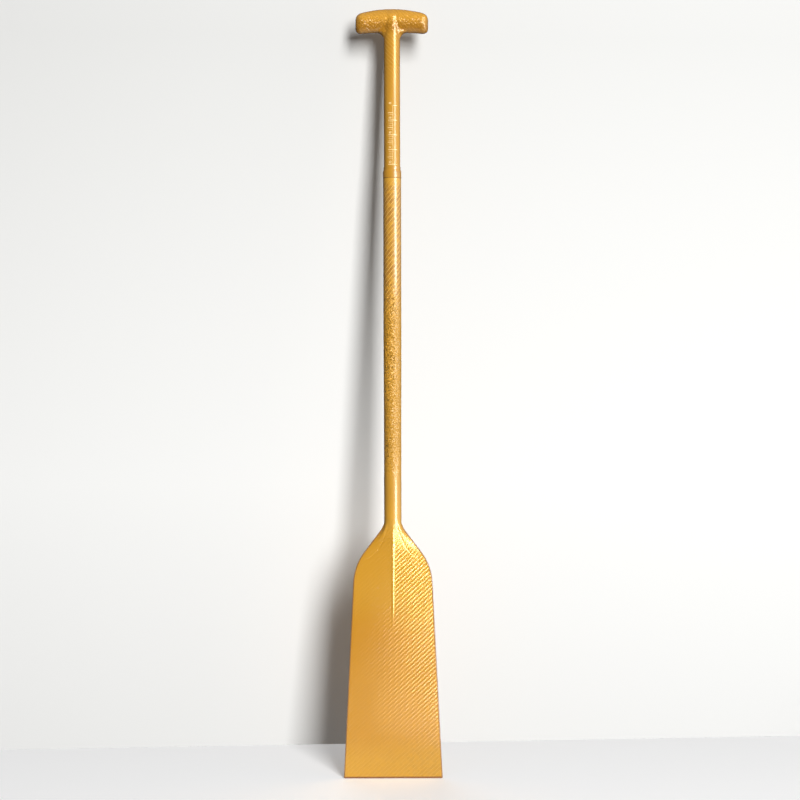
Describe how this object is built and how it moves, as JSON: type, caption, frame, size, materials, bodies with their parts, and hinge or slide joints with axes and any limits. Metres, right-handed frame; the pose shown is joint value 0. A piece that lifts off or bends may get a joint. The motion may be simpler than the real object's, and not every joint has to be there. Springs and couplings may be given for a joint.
{
  "type": "dragon boat paddle",
  "caption": "Laminated dragon boat paddle with a T grip on a stem that slides in a round shaft, and a flat-ended, foam-cored blade with sloping shoulders.",
  "frame": {"origin": "middle of the blade's flat end edge", "axes": "+Z along the shaft from the blade's end edge to the grip, +X across the blade, +Y out of the blade's back face"},
  "size_m": [0.1715, 0.0318, 1.3337],
  "materials": {
    "woven_laminate": "gold glass-fibre twill under clear gloss coat",
    "edge_resin": "amber-brown resin, satin",
    "seal_film": "thin amber film, smooth",
    "printed_film": "clear film over gold with pale cream marks",
    "foam": "fine closed-cell foam",
    "moulded_plastic": "moulded, satin",
    "hot_melt_glue": "cast, waxy"
  },
  "bodies": {
    "blade_and_shaft": {"blade_skin_front": "woven_laminate", "blade_skin_back": "woven_laminate", "blade_foam_core_left": "foam", "blade_foam_core_right": "foam", "blade_spine_tang": "foam", "blade_edge_strip_left": "edge_resin", "blade_edge_strip_right": "edge_resin", "blade_end_guard": "edge_resin", "shaft_tube": "woven_laminate", "shaft_float_plug": "foam", "joint_seal_band": "seal_film"},
    "handle": {"stem_tube": "woven_laminate", "stem_end_plug": "moulded_plastic", "stem_glue_sleeve": "hot_melt_glue", "length_scale_label": "printed_film", "grip_spigot": "moulded_plastic", "grip_foam_core": "foam", "grip_shell_front": "woven_laminate", "grip_shell_back": "woven_laminate"}
  },
  "joints": [
    {"name": "handle_slide", "type": "slide", "parent": "blade_and_shaft", "child": "handle", "axis": [0, 0, 1], "range_m": [-0.1143, 0.0381]}
  ]
}
